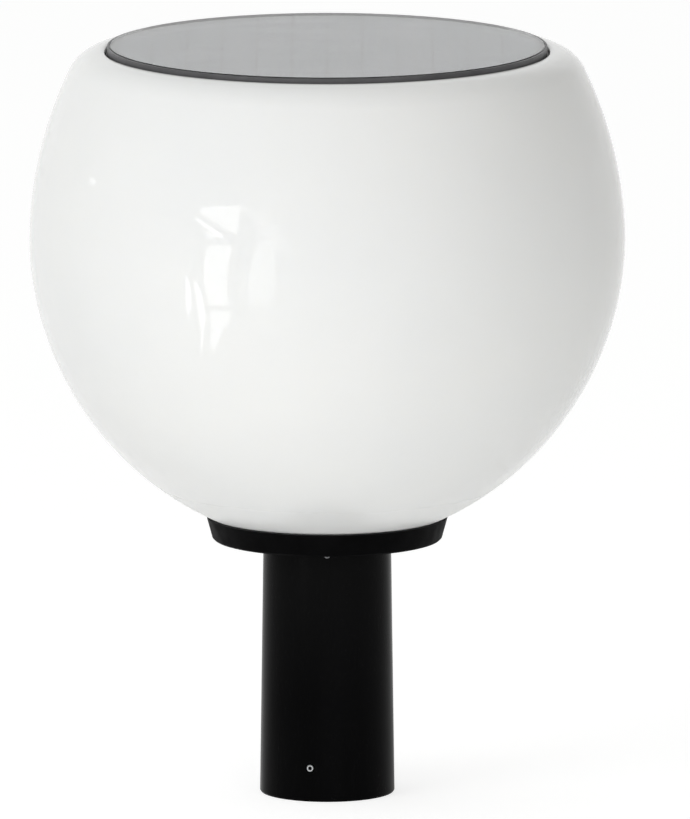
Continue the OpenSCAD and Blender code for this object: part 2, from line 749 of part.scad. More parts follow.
// Small board that carries the switch
module switch_board() {
    board_w = switch_w + 3;
    color("#1f6b3c") translate([button_offset - board_w / 2, -switch_leg_y, switch_top])
        cube([board_w, 2 * switch_leg_y, switch_board_t]);
    // Legs down to the door, beside the button
    color("#1f6b3c") for (y = [-1, 1]) translate([button_offset, y * switch_leg_y, door_top])
        cylinder(r = switch_leg_r, h = switch_top - door_top + switch_board_t);
}

// Push switch over the button
module switch_body() {
    color("#303236") translate([button_offset - switch_w / 2, -switch_w / 2, switch_z])
        cube([switch_w, switch_w, switch_h]);
}

// Button that slides up into the door, kept by a flange above its guide
module power_button() {
    button_r = button_d / 2;
    flange_z = button_proud + door_t + guide_h + moving_gap;
    stem_z = button_proud + switch_z - button_travel - moving_gap - door_z;
    color("#3a3c40") translate([button_offset, 0, door_z - button_proud]) rotate_extrude() polygon([
        [0, 0], [button_r - bevel, 0], [button_r, bevel], [button_r, flange_z],
        [button_r + button_flange, flange_z], [button_r + button_flange, flange_z + flange_t],
        [button_stem_r, flange_z + flange_t], [button_stem_r, stem_z], [0, stem_z]
    ]);
}

// Pair of wires from the panel's board, through the tray, to the control board
module panel_wires() {
    plug_y = panel_plug[1];
    color("#b03030") for (side = [-1, 1]) {
        x = side * wire_pitch / 2;
        wire([[x, 0, panel_board_z], [x, 0, plug_z - wire_d], [x, plug_y / 2, plug_z], [x, plug_y, plug_z]],
            wire_d, [1, 0, 0]);
    }
}

// Pair of wires from the end contacts of the last cell up to the control board
module battery_wires() {
    start_x = battery_x(battery_count) + (contact_w - wire_d) / 2;
    edge = control_w / 2 + 9;
    plug_x = battery_plug[0] + battery_plug_w[0];
    color("#b03030") for (end = [-1, 1]) {
        y = end * (holder_l / 2 - holder_t - contact_t / 2);
        plug_y = battery_plug[1] + battery_plug_w[1] / 2 + end * wire_d;
        wire([[start_x, y, contact_top], [start_x, y, contact_top + 4 * wire_d],
            [edge, plug_y, plug_z], [plug_x, plug_y, plug_z]], wire_d, [1, end, 1]);
    }
}

// Pair of wires from the control board, through the notch, to the LED board
module led_wires() {
    plug_x = led_plug[0] + led_plug_w[0] / 2;
    plug_y = led_plug[1] + led_plug_w[1];
    out_y = led_board_in_r + 3 * wire_d;
    out_z = led_board_z - wire_d / 2 - thread_gap;
    color("#b03030") for (side = [-1, 1])
        wire([[plug_x + side * wire_d, plug_y, plug_z], [plug_x + side * wire_d, plug_y + 16, plug_z],
            [side * wire_d, out_y - 18, out_z - 0.8], [side * wire_d, out_y, out_z]], wire_d, [1, 0, 0]);
}

sleeve();
collar();
neck_gasket();
globe();
clamp_pad();
clamp_ring();
for (i = [1:4]) clamp_screw(i);
for (i = [1:3]) lock_screw(i);
for (i = [1:3]) pole_screw(i);
panel_tray();
head_seal();
panel_board();
solar_cells();
cell_ribbons();
solar_glass();
housing();
for (i = [1:4]) housing_screw(i);
door();
door_seal();
for (i = [1:4]) door_screw(i);
battery_holder();
for (i = [1:battery_count]) battery(i);
battery_contacts();
control_board();
control_parts();
board_posts();
led_board();
leds();
led_cover();
led_screws();
switch_board();
switch_body();
power_button();
panel_wires();
battery_wires();
led_wires();
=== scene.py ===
import json
import math

import bmesh
import bpy
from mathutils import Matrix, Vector


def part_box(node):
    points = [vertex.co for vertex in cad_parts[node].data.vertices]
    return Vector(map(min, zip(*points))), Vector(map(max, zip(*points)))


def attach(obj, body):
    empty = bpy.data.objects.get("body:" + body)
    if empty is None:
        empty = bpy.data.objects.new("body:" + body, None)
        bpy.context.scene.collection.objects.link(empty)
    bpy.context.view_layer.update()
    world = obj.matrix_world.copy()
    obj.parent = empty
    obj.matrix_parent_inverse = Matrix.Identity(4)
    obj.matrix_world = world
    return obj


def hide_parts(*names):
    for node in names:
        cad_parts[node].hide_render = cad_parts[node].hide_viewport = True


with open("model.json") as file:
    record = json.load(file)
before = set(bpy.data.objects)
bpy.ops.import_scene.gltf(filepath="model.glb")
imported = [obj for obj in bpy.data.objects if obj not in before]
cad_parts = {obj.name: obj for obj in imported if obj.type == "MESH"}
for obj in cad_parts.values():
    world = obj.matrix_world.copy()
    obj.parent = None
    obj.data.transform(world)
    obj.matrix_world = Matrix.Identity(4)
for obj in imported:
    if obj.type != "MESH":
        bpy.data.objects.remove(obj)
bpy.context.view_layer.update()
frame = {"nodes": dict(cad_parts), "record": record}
nodes = frame["nodes"]

MM = 0.001


# Node trees

# A Mix node's sockets for colours
MIX_A = 6
MIX_B = 7
MIX_RESULT = 2
# The levels between which most of a noise lies
NOISE_LOW = 0.3
NOISE_HIGH = 0.7


class Tree:
    """The node tree of a material or world."""

    def __init__(self, owner, empty=True):
        owner.use_nodes = True
        self.tree = owner.node_tree
        if empty:
            self.tree.nodes.clear()

    def feed(self, socket, value):
        """Gives an input another node's output, a number or a colour."""
        if isinstance(value, bpy.types.NodeSocket):
            self.tree.links.new(value, socket)
        elif socket.type == "RGBA":
            socket.default_value = (*value, 1.0)
        else:
            socket.default_value = value

    def add(self, kind, inputs=(), **settings):
        """A new node with these settings, its inputs fed by name or number."""
        node = self.tree.nodes.new(kind)
        for key, value in settings.items():
            setattr(node, key, value)
        for key, value in dict(inputs).items():
            self.feed(node.inputs[key], value)
        return node

    def math(self, operation, *values):
        return self.add("ShaderNodeMath", enumerate(values), operation=operation).outputs["Value"]

    def remap(self, value, low, high, new_low, new_high):
        """Takes the range low to high to the range new_low to new_high, and holds what is outside it."""
        inputs = {"Value": value, "From Min": low, "From Max": high, "To Min": new_low, "To Max": new_high}
        return self.add("ShaderNodeMapRange", inputs).outputs["Result"]

    def mix(self, factor, a, b):
        """Colour a where factor is 0 and b where it is 1."""
        inputs = {"Factor": factor, MIX_A: a, MIX_B: b}
        return self.add("ShaderNodeMix", inputs, data_type="RGBA").outputs[MIX_RESULT]

    def shader(self, kind, *inputs, **named):
        """The output of a shader, its inputs fed in their order or by name."""
        return self.add(kind, dict(enumerate(inputs)) | named).outputs[0]

    def seen_by(self, *kinds):
        """1 for the kinds of ray that are named and 0 for all others."""
        path = self.add("ShaderNodeLightPath")
        seen = path.outputs[kinds[0]]
        for kind in kinds[1:]:
            seen = self.math("MAXIMUM", seen, path.outputs[kind])
        return seen


class Surface(Tree):
    """A material around one Principled shader, in the object's own coordinates (metres)."""

    def __init__(self, name, inputs):
        self.mat = bpy.data.materials.new(name)
        super().__init__(self.mat, empty=False)
        self.principled = self.tree.nodes["Principled BSDF"]
        for key, value in inputs.items():
            self.feed(self.principled.inputs[key], value)
        self.where = self.add("ShaderNodeTexCoord").outputs["Object"]

    def noise(self, scale, detail=3.0, rough=0.55, stretch=(1, 1, 1)):
        where = self.add("ShaderNodeMapping", {"Vector": self.where, "Scale": stretch}).outputs["Vector"]
        inputs = {"Vector": where, "Scale": scale, "Detail": detail, "Roughness": rough}
        return self.add("ShaderNodeTexNoise", inputs).outputs["Fac"]

    def specks(self, scale, size):
        """1 in the middle of small round specks, falling to 0 at their edges."""
        cells = self.add("ShaderNodeTexVoronoi", {"Vector": self.where, "Scale": scale})
        return self.remap(cells.outputs["Distance"], 0.0, size, 1.0, 0.0)

    def wave(self, scale, distortion=0.0, **settings):
        inputs = {"Vector": self.where, "Scale": scale, "Distortion": distortion}
        return self.add("ShaderNodeTexWave", inputs, **settings).outputs["Fac"]

    def rings(self, scale, distortion=0.0):
        """Rings round the part's upright axis."""
        return self.wave(scale, distortion, wave_type="RINGS", rings_direction="Z")

    def spread(self, noise, least, most):
        """Takes what a noise mostly holds to the range least to most."""
        return self.remap(noise, NOISE_LOW, NOISE_HIGH, least, most)

    def clouds(self, noise, a, b):
        """Two colours in soft patches."""
        return self.mix(self.spread(noise, 0.0, 1.0), a, b)

    def part(self, axis):
        """One of the object's own coordinates: 0, 1 or 2."""
        return self.add("ShaderNodeSeparateXYZ", {"Vector": self.where}).outputs[axis]

    def radius(self):
        """Distance from the part's upright axis."""
        squares = [self.math("MULTIPLY", self.part(axis), self.part(axis)) for axis in (0, 1)]
        return self.math("SQRT", self.math("ADD", *squares))

    def color(self, socket):
        self.feed(self.principled.inputs["Base Color"], socket)

    def rough(self, socket):
        self.feed(self.principled.inputs["Roughness"], socket)

    def bump(self, height, distance, strength=1.0):
        """Adds a relief on top of those that are there already."""
        inputs = {"Strength": strength, "Distance": distance, "Height": height}
        normal = self.principled.inputs["Normal"]
        if normal.is_linked:
            inputs["Normal"] = normal.links[0].from_socket
        self.feed(normal, self.add("ShaderNodeBump", inputs).outputs["Normal"])


# Materials of the product

# Heights between which the globe's haze, the sleeve's painted top light and its dust come or go, where the
# cells' strips start, and where a battery's bare ends begin
GLOBE_HAZE_Z = (150 * MM, 190 * MM)
SLEEVE_PAINTED_LIGHT_Z = (50 * MM, 140 * MM)
SLEEVE_DUST_Z = (0.0, 60 * MM)
CELLS_LEFT = 105.8 * MM
CELL_PITCH = 17.63 * MM
FINGER_SCALE = 160
BATTERY_END_Y = (31.2 * MM, 31.5 * MM)


def opal():
    """Opal acrylic: milky and polished, with the faint waves and haze of a blown shell, dull at its foot."""
    look = Surface("opal_acrylic", {
        "IOR": 1.38,
        "Subsurface Weight": 0.25,
        "Subsurface Radius": (1.0, 0.96, 0.88),
        "Subsurface Scale": 6 * MM,
    })
    tint = look.clouds(look.noise(9, detail=2), (0.885, 0.89, 0.885), (0.915, 0.915, 0.9))
    dust = look.specks(260, 0.05)
    look.color(look.mix(look.math("MULTIPLY", dust, 0.25), tint, (0.55, 0.54, 0.5)))
    haze = look.remap(look.noise(16, detail=6, rough=0.6), 0.3, 0.75, 0.012, 0.04)
    foot_haze = look.remap(look.part(2), *GLOBE_HAZE_Z, 0.3, 0.0)
    haze = look.math("ADD", haze, foot_haze)
    look.rough(look.math("ADD", haze, look.math("MULTIPLY", dust, 0.2)))
    look.bump(look.noise(14, detail=1, stretch=(1, 1, 0.7)), 1.6 * MM, 0.35)
    look.bump(look.noise(420, detail=2), 0.02 * MM, 0.5)
    return look.mat


def black_enamel():
    """Black gloss coat on the sleeve: orange peel, streaks of painted sheen, painted light at its top and
    dust at its foot.
    """
    look = Surface("black_paint", {"IOR": 1.09})
    # Painted sheen: random lighter vertical streaks in the coat's colour stand in for faint reflected
    # streaks.
    painted_sheen_streaks = look.remap(look.noise(26, detail=3, stretch=(1, 1, 0.12)), 0.35, 0.7, 0.0, 1.0)
    body = look.mix(painted_sheen_streaks, (0.0008, 0.0008, 0.0009), (0.0022, 0.0022, 0.0025))
    # Painted light: the coat's colour grows lighter towards the top, as light bounced from the globe would
    # make it.
    painted_top_light = look.remap(look.part(2), *SLEEVE_PAINTED_LIGHT_Z, 0.0, 1.0)
    body = look.mix(painted_top_light, body, (0.0045, 0.0045, 0.0046))
    low_down = look.remap(look.part(2), *SLEEVE_DUST_Z, 0.5, 0.05)
    dust = look.math("MULTIPLY", look.specks(520, 0.06), low_down)
    look.color(look.mix(dust, body, (0.07, 0.068, 0.062)))
    look.rough(look.spread(look.noise(40, detail=5, stretch=(1, 1, 0.2)), 0.16, 0.34))
    look.bump(look.noise(900, detail=2), 0.03 * MM, 0.5)
    look.bump(look.noise(22, detail=1, stretch=(1, 1, 0.2)), 0.6 * MM, 0.3)
    return look.mat


def black_satin():
    """Powder coat on the collar."""
    look = Surface("black_satin", {"IOR": 1.09})
    look.color(look.clouds(look.noise(60, detail=4), (0.0006, 0.0006, 0.0007), (0.002, 0.002, 0.0022)))
    look.rough(look.spread(look.noise(140, detail=4), 0.45, 0.62))
    look.bump(look.noise(1400, detail=2), 0.04 * MM, 0.6)
    return look.mat


def silicon():
    """Dark blue cells with fine silver fingers across each strip and a slightly different tone per strip."""
    look = Surface("solar_silicon", {"IOR": 1.3})
    grain = look.noise(90, detail=5, rough=0.7)
    body = look.clouds(grain, (0.008, 0.012, 0.032), (0.016, 0.024, 0.058))
    strip = look.math("DIVIDE", look.math("ADD", look.part(0), CELLS_LEFT), CELL_PITCH)
    count = {"W": look.math("FLOOR", strip)}
    tone = look.add("ShaderNodeTexWhiteNoise", count, noise_dimensions="1D").outputs["Value"]
    body = look.mix(look.math("MULTIPLY", tone, 0.45), body, (0.022, 0.026, 0.05))
    bands = look.wave(FINGER_SCALE, bands_direction="Y")
    fingers = look.remap(bands, 0.93, 0.985, 0.0, 0.75)
    look.color(look.mix(fingers, body, (0.3, 0.31, 0.33)))
    look.rough(look.spread(grain, 0.34, 0.38))
    look.bump(bands, 0.02 * MM, 0.5)
    return look.mat


def panel_glass():
    """Solar glass treated against glare, with a finely hammered face and faint drawing lines across it."""
    look = Surface("solar_glass", {"IOR": 1.13, "Transmission Weight": 1.0})
    look.color(look.clouds(look.noise(30), (0.9, 0.93, 0.92), (0.96, 0.97, 0.97)))
    look.rough(look.spread(look.noise(90, detail=4, stretch=(0.12, 1, 1)), 0.1, 0.14))
    look.bump(look.noise(900, detail=2), 0.03 * MM, 0.35)
    return look.mat


def clear_cover():
    """Clear plastic over the LEDs, with fine rings that spread their light."""
    look = Surface("clear_plastic", {"IOR": 1.49, "Transmission Weight": 0.9})
    look.color(look.clouds(look.noise(40), (0.86, 0.89, 0.9), (0.94, 0.95, 0.95)))
    look.rough(look.spread(look.noise(60, detail=5), 0.08, 0.22))
    look.bump(look.rings(55), 0.12 * MM, 0.6)
    return look.mat


def tray_plastic():
    """Dark moulded plastic with a spark-eroded grain."""
    look = Surface("dark_tray", {"IOR": 1.46})
    look.color(look.clouds(look.noise(70, detail=4), (0.062, 0.061, 0.064), (0.084, 0.083, 0.087)))
    look.rough(look.spread(look.noise(160, detail=4), 0.36, 0.5))
    look.bump(look.noise(1600, detail=3), 0.06 * MM, 0.6)
    return look.mat


def shrink_wrap():
    """Green film round a battery, with the bare metal of both ends."""
    look = Surface("battery_wrap", {"IOR": 1.5})
    fold = look.noise(120, detail=3, stretch=(1, 0.15, 1))
    wrap = look.clouds(fold, (0.03, 0.2, 0.1), (0.05, 0.29, 0.15))
    end = look.remap(look.math("ABSOLUTE", look.part(1)), *BATTERY_END_Y, 0.0, 1.0)
    look.color(look.mix(end, wrap, (0.55, 0.56, 0.57)))
    look.rough(look.spread(fold, 0.18, 0.32))
    look.bump(fold, 0.1 * MM, 0.5)
    return look.mat


def phosphor():
    """The yellow filling of an LED."""
    look = Surface("led_phosphor", {"IOR": 1.45, "Subsurface Weight": 0.3, "Subsurface Scale": 0.5 * MM})
    look.color(look.clouds(look.noise(900, detail=4), (0.8, 0.62, 0.16), (0.88, 0.74, 0.27)))
    look.rough(look.spread(look.noise(500), 0.15, 0.3))
    look.bump(look.noise(2500), 0.02 * MM, 0.5)
    return look.mat


def plain(name, dark, light, rough, scale, relief_scale, relief=0.05 * MM, ior=1.5):
    """Rubber or plastic with clouded colour, uneven gloss and a fine relief."""
    look = Surface(name, {"IOR": ior})
    look.color(look.clouds(look.noise(scale), dark, light))
    look.rough(look.remap(look.noise(scale * 2.3, detail=5), 0.25, 0.75, *rough))
    look.bump(look.noise(relief_scale, detail=2), relief)
    return look.mat


def metal(name, dark, light, rough, turned=False):
    """Bare metal, clouded and scratched, with turning marks round the axis if it is turned."""
    look = Surface(name, {"Metallic": 1.0})
    look.color(look.clouds(look.noise(180, detail=4), dark, light))
    look.rough(look.spread(look.noise(700, detail=5, stretch=(1, 1, 0.2)), *rough))
    if turned:
        look.bump(look.rings(170, distortion=0.4), 0.04 * MM, 0.6)
    look.bump(look.noise(1500, detail=3), 0.02 * MM, 0.5)
    return look.mat


def circuit(name, dark, light, trace, scale):
    """Lacquered board with traces under the lacquer."""
    look = Surface(name, {"IOR": 1.5, "Coat Weight": 0.4, "Coat Roughness": 0.15})
    inputs = {"Vector": look.where, "Scale": scale, "Mortar Size": 0.03}
    traces = look.add("ShaderNodeTexBrick", inputs).outputs["Fac"]
    board = look.clouds(look.noise(120), dark, light)
    look.color(look.mix(look.math("MULTIPLY", traces, 0.5), board, trace))
    look.rough(look.spread(look.noise(300, detail=4), 0.25, 0.42))
    look.bump(traces, 0.05 * MM, 0.5)
    return look.mat


def worn_screw(name, end_r, bevel, bright):
    """Blackened steel, worn bright on its outer end and on the bevel round it."""
    look = Surface(name, {"Metallic": 1.0})
    worn = look.remap(look.radius(), end_r - bevel, end_r - 0.9 * bevel, 0.0, 1.0)
    black = look.clouds(look.noise(300, detail=4), (0.006, 0.006, 0.007), (0.014, 0.014, 0.015))
    look.color(look.mix(worn, black, bright))
    look.rough(look.spread(look.noise(900, detail=4), 0.22, 0.38))
    look.bump(look.noise(1800, detail=3), 0.02 * MM, 0.5)
    return look.mat


# Rubbers and plastics: dark and light colour, range of roughness, scale of the clouds and of the relief, and
# where they aren't the usual ones, the depth of the relief and the index of refraction
PLAIN = {
    "seal_rubber": ((0.012, 0.012, 0.013), (0.026, 0.026, 0.027), (0.62, 0.8), 120, 1300),
    "grey_rubber": ((0.09, 0.09, 0.092), (0.14, 0.14, 0.143), (0.6, 0.78), 120, 1300),
    "black_board": ((0.012, 0.012, 0.014), (0.02, 0.02, 0.023), (0.4, 0.55), 70, 900, 0.05 * MM, 1.46),
    "white_plastic": ((0.7, 0.7, 0.69), (0.78, 0.78, 0.77), (0.38, 0.52), 60, 1500, 0.05 * MM, 1.49),
    "black_plastic": ((0.012, 0.012, 0.013), (0.022, 0.022, 0.024), (0.34, 0.5), 80, 1500, 0.05 * MM, 1.49),
    "wire_red": ((0.34, 0.02, 0.018), (0.45, 0.035, 0.03), (0.35, 0.5), 200, 1800, 0.03 * MM, 1.46),
    "wire_black": ((0.01, 0.01, 0.011), (0.02, 0.02, 0.022), (0.35, 0.5), 200, 1800, 0.03 * MM),
}
# Metals: dark and light colour, range of roughness and whether it is turned
METAL = {
    "plain_aluminium": ((0.6, 0.61, 0.62), (0.74, 0.75, 0.76), (0.26, 0.4), True),
    "zinc_steel": ((0.5, 0.51, 0.53), (0.66, 0.67, 0.68), (0.28, 0.42)),
    "dark_steel": ((0.05, 0.05, 0.053), (0.1, 0.1, 0.105), (0.3, 0.45)),
    "stainless_steel": ((0.62, 0.63, 0.64), (0.78, 0.79, 0.8), (0.14, 0.26)),
    "brass": ((0.56, 0.4, 0.15), (0.7, 0.53, 0.24), (0.2, 0.34)),
    "ribbon_tin": ((0.1, 0.1, 0.105), (0.16, 0.16, 0.17), (0.4, 0.55)),
}
# Circuit boards: dark and light colour, the colour over the traces and the scale of these
CIRCUIT = {
    "white_board": ((0.74, 0.74, 0.72), (0.82, 0.82, 0.8), (1.0, 1.0, 1.0), 30),
    "green_board": ((0.012, 0.1, 0.035), (0.02, 0.15, 0.055), (0.058, 0.305, 0.1245), 95),
}
# Worn screws: how far the outer end is from the post's axis, the bevel round it and its bright colour
WORN_SCREW = {
    "pole_screw_steel": (33.46 * MM, 0.48 * MM, (0.62, 0.63, 0.64)),
    "lock_screw_steel": (32.55 * MM, 0.36 * MM, (0.2, 0.2, 0.205)),
}
FINISH = {
    "black_paint": black_enamel(),
    "black_satin": black_satin(),
    "opal_acrylic": opal(),
    "dark_tray": tray_plastic(),
    "solar_silicon": silicon(),
    "solar_glass": panel_glass(),
    "battery_wrap": shrink_wrap(),
    "led_phosphor": phosphor(),
    "clear_plastic": clear_cover(),
}
for make, table in ((plain, PLAIN), (metal, METAL), (circuit, CIRCUIT), (worn_screw, WORN_SCREW)):
    for name, values in table.items():
        FINISH[name] = make(name, *values)

# The nodes whose look isn't that of their slot alone
SPECIAL = {"collar": "black_satin", "cell_ribbons": "ribbon_tin"}
SCREWS_AROUND = 3
for i in range(1, SCREWS_AROUND + 1):
    SPECIAL[f"pole_screw_{i}"] = "pole_screw_steel"
    SPECIAL[f"lock_screw_{i}"] = "lock_screw_steel"

for subpart in frame["record"]["subparts"]:
    finish = SPECIAL.get(subpart["node"], subpart["material_slot"])
    for place in nodes[subpart["node"]].material_slots:
        place.material = FINISH[finish]


# Pieces

def in_scene(name, data):
    """Puts a mesh, lamp or camera in the scene as an object of that name."""
    obj = bpy.data.objects.new(name, data)
    bpy.context.scene.collection.objects.link(obj)
    return obj


def new_mesh(name, bm, mat):
    """Turns a bmesh into a mesh of one material."""
    mesh = bpy.data.meshes.new(name)
    bm.to_mesh(mesh)
    bm.free()
    mesh.materials.append(mat)
    return mesh


# Edges that turn by more degrees than this are drawn sharp, on a wire only those of its ends
SHARP = 32
WIRE_SHARP = 50


def new_piece(name, bm, finish, body, sharp=SHARP):
    """Turns a bmesh into a piece that rides on a body."""
    bmesh.ops.recalc_face_normals(bm, faces=bm.faces)
    mesh = new_mesh(name, bm, FINISH[finish])
    mesh.shade_smooth()
    mesh.set_sharp_from_angle(angle=math.radians(sharp))
    obj = in_scene(name, mesh)
    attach(obj, body)
    return obj


def skin(bm, loops):
    """Joins loops of as many points each, one after the other, and closes both ends."""
    for here, there in zip(loops, loops[1:]):
        for i in range(len(here)):
            after = (i + 1) % len(here)
            bm.faces.new((here[i], here[after], there[after], there[i]))
    bm.faces.new(loops[0])
    bm.faces.new(loops[-1])


def polar(middle, radius, degrees):
    """The point at that distance from a middle and at an angle in degrees."""
    angle = math.radians(degrees)
    return (middle[0] + radius * math.cos(angle), middle[1] + radius * math.sin(angle))


# The globe's section in millimetres, as in the part's source: arcs that run on from each other
GLOBE_R = 150.0
WALL = 3.0
SEAT_R = 61.0
SEAT_Z = 142.0
OPENING_R = 50.0
BELT_R = 130.0
UPPER_R = 204.0
LOWER_R = 158.5
SHOULDER_R = 18.2
BELT_UP = 2.7
BELT_DOWN = 4.1
SHOULDER = 25.8
LIP_ROUND = 1.8
LEDGE_W = 13.6
PROUD = 2.6
LEDGE_BELOW_TOP = 9.5
# Degrees from point to point, on the wide arcs and on the tight ones
WIDE_STEP = 1.2
SHOULDER_STEP = 4
LIP_STEP = 12
EDGE_STEP = 20
LATHE_STEPS = 256

belt_x = GLOBE_R - BELT_R
lower_x = belt_x + (BELT_R - LOWER_R) * math.cos(math.radians(BELT_DOWN))
LOWER_MIDDLE = (lower_x, SEAT_Z + math.sqrt(LOWER_R ** 2 - (SEAT_R - lower_x) ** 2))
BELT_MIDDLE = (belt_x, LOWER_MIDDLE[1] + (BELT_R - LOWER_R) * math.sin(math.radians(BELT_DOWN)))
UPPER_MIDDLE = polar(BELT_MIDDLE, BELT_R - UPPER_R, BELT_UP)
SHOULDER_MIDDLE = polar(UPPER_MIDDLE, UPPER_R - SHOULDER_R, SHOULDER)
LIP_Z = SHOULDER_MIDDLE[1] + SHOULDER_R


def arc(middle, radius, start, end, step=WIDE_STEP):
    """Points from the start angle up to, but not on, the end angle, about step degrees apart."""
    count = max(int(abs(end - start) / step), 2)
    return [polar(middle, radius, start + (end - start) * i / count) for i in range(count)]


def globe_profile():
    """Closed section of the shell, with its rolled lip, ledge and round lower edge."""
    lip_r = SHOULDER_MIDDLE[0] - LIP_ROUND
    lip_middle = (SHOULDER_MIDDLE[0], LIP_Z - LIP_ROUND)
    ledge_z = LIP_Z + PROUD - LEDGE_BELOW_TOP
    ledge_r = lip_r - LEDGE_W
    opening = math.degrees(math.acos((OPENING_R - LOWER_MIDDLE[0]) / LOWER_R))
    edge_middle = polar(LOWER_MIDDLE, LOWER_R - WALL / 2, -opening)
    skirt_r = lip_r + WALL
    skirt = math.degrees(math.acos((skirt_r - SHOULDER_MIDDLE[0]) / (SHOULDER_R - WALL)))
    return (
        arc(LOWER_MIDDLE, LOWER_R, -opening, -BELT_DOWN)
        + arc(BELT_MIDDLE, BELT_R, -BELT_DOWN, BELT_UP)
        + arc(UPPER_MIDDLE, UPPER_R, BELT_UP, SHOULDER)
        + arc(SHOULDER_MIDDLE, SHOULDER_R, SHOULDER, 90, SHOULDER_STEP)
        + arc(lip_middle, LIP_ROUND, 90, 180, LIP_STEP)
        + [(lip_r, lip_middle[1]), (lip_r, ledge_z), (ledge_r, ledge_z)]
        + [(ledge_r, ledge_z - WALL), (skirt_r, ledge_z - WALL)]
        + arc(SHOULDER_MIDDLE, SHOULDER_R - WALL, skirt, SHOULDER, SHOULDER_STEP)
        + arc(UPPER_MIDDLE, UPPER_R - WALL, SHOULDER, BELT_UP)
        + arc(BELT_MIDDLE, BELT_R - WALL, BELT_UP, -BELT_DOWN)
        + arc(LOWER_MIDDLE, LOWER_R - WALL, -BELT_DOWN, -opening)
        + arc(edge_middle, WALL / 2, 180 - opening, 360 - opening, EDGE_STEP)
    )


def lathe(bm, profile):
    """Closed ring of (radius, height) points in millimetres, turned round the upright axis."""
    rings = []
    for step in range(LATHE_STEPS):
        angle = 2 * math.pi * step / LATHE_STEPS
        ring = []
        for radius, height in profile:
            x = radius * MM * math.cos(angle)
            y = radius * MM * math.sin(angle)
            ring.append(bm.verts.new((x, y, height * MM)))
        rings.append(ring)
    for here, there in zip(rings, rings[1:] + rings[:1]):
        for i in range(len(profile)):
            after = (i + 1) % len(profile)
            bm.faces.new((here[i], there[i], there[after], here[after]))


bm = bmesh.new()
lathe(bm, globe_profile())
globe = new_piece("globe_shell", bm, "opal_acrylic", "fixture")
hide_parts("globe")


# The wires inside the solar head

WIRE_D = 1.4 * MM
WIRE_RINGS = 40
WIRE_SIDES = 20
# How wide a wire is at these places along its curve, where its ends are rounded
WIRE_START = [(0.0, 0.55), (0.004, 0.9)]
WIRE_END = [(0.996, 0.9), (1.0, 0.55)]


def bezier(points, share):
    """Point and direction at a share of the way along the curve of four control points."""
    a, b, c, d = (Vector(point) for point in points)
    left = 1 - share
    place = left ** 3 * a + 3 * share * left * left * b + 3 * share * share * left * c + share ** 3 * d
    way = left * left * (b - a) + 2 * share * left * (c - b) + share * share * (d - c)
    return place, way.normalized()


def wire(name, node, finish, slot, side_way, *points):
    """Round insulated wire along the curve of the CAD wire that it stands for."""
    bm = bmesh.new()
    middle = [(i / (WIRE_RINGS - 1), 1.0) for i in range(1, WIRE_RINGS - 1)]
    loops = []
    for share, width in WIRE_START + middle + WIRE_END:
        place, way = bezier(points, share)
        across = Vector(side_way).cross(way).normalized()
        over = way.cross(across)
        radius = WIRE_D / 2 * width
        loop = []
        for side in range(WIRE_SIDES):
            angle = 2 * math.pi * side / WIRE_SIDES
            loop.append(bm.verts.new(place + radius * (math.cos(angle) * across + math.sin(angle) * over)))
        loops.append(loop)
    skin(bm, loops)
    obj = new_piece(name, bm, finish, "solar_head", WIRE_SHARP)
    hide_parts(node)


board_high = Vector(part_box("control_board")[1])
contact_high = Vector(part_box("battery_contacts")[1])
panel_board_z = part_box("panel_board")[0][2]
led_board_low, led_board_high = (Vector(corner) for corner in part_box("led_board"))
# Of each pair of wires: which side it is on, its finish and its slot
LEADS = ((-1, "wire_red", "wire_red"), (1, "wire_black", "black_plastic"))
PLUG_Z = board_high.z + 1.9 * MM
PANEL_LEAD_X = 2 * MM
PANEL_PLUG_Y = 18 * MM
BATTERY_PLUG = (18 * MM, -11.5 * MM)
BATTERY_BEND = 9 * MM
CONTACT_EDGE = 0.25 * MM
LED_PLUG = (-11.5 * MM, 20 * MM)
LED_START_BEND = 16 * MM
LED_END_BEND = 18 * MM
LED_DIP = 0.8 * MM
LED_WIRE_GAP = 0.05 * MM
LED_BOARD_W = 21 * MM
led_in_r = led_board_high.x - LED_BOARD_W
led_out_y = led_in_r + 3 * WIRE_D
led_wire_z = led_board_low.z - WIRE_D / 2 - LED_WIRE_GAP

for i, (way_out, finish, slot) in enumerate(LEADS, 1):
    x = way_out * PANEL_LEAD_X
    wire(
        f"panel_lead_{i}", "panel_wires", finish, slot, (1, 0, 0),
        (x, 0, panel_board_z),
        (x, 0, PLUG_Z - WIRE_D),
        (x, PANEL_PLUG_Y / 2, PLUG_Z),
        (x, PANEL_PLUG_Y, PLUG_Z),
    )
    x = contact_high.x - WIRE_D / 2
    y = way_out * (contact_high.y - CONTACT_EDGE)
    plug_y = BATTERY_PLUG[1] + way_out * WIRE_D
    wire(
        f"battery_lead_{i}", "battery_wires", finish, slot, (1, way_out, 1),
        (x, y, contact_high.z),
        (x, y, contact_high.z + 4 * WIRE_D),
        (board_high.x + BATTERY_BEND, plug_y, PLUG_Z),
        (BATTERY_PLUG[0], plug_y, PLUG_Z),
    )
    x = way_out * WIRE_D
    wire(
        f"light_lead_{i}", "led_wires", finish, slot, (1, 0, 0),
        (LED_PLUG[0] + x, LED_PLUG[1], PLUG_Z),
        (LED_PLUG[0] + x, LED_PLUG[1] + LED_START_BEND, PLUG_Z),
        (x, led_out_y - LED_END_BEND, led_wire_z - LED_DIP),
        (x, led_out_y, led_wire_z),
    )


# The LEDs

LED_W = 3.5 * MM
LED_T = 0.9 * MM
LED_EDGE = 1.8 * MM
BODY_BEVEL = 0.12 * MM
BODY_CORNER = 0.35 * MM
FILL_CORNER = 0.5 * MM
# Steps from the board down, each as shares of half an LED's width and of its thickness
BODY_STEPS = ((1.0, 0.0), (1.0, 0.7), (1 - 2 * BODY_BEVEL / LED_W, 1.0), (0.76, 1.0), (0.6, 0.45))
FILL_STEPS = ((0.66, 0.6), (0.72, 0.86), (0.5, 0.93), (0.2, 0.96))
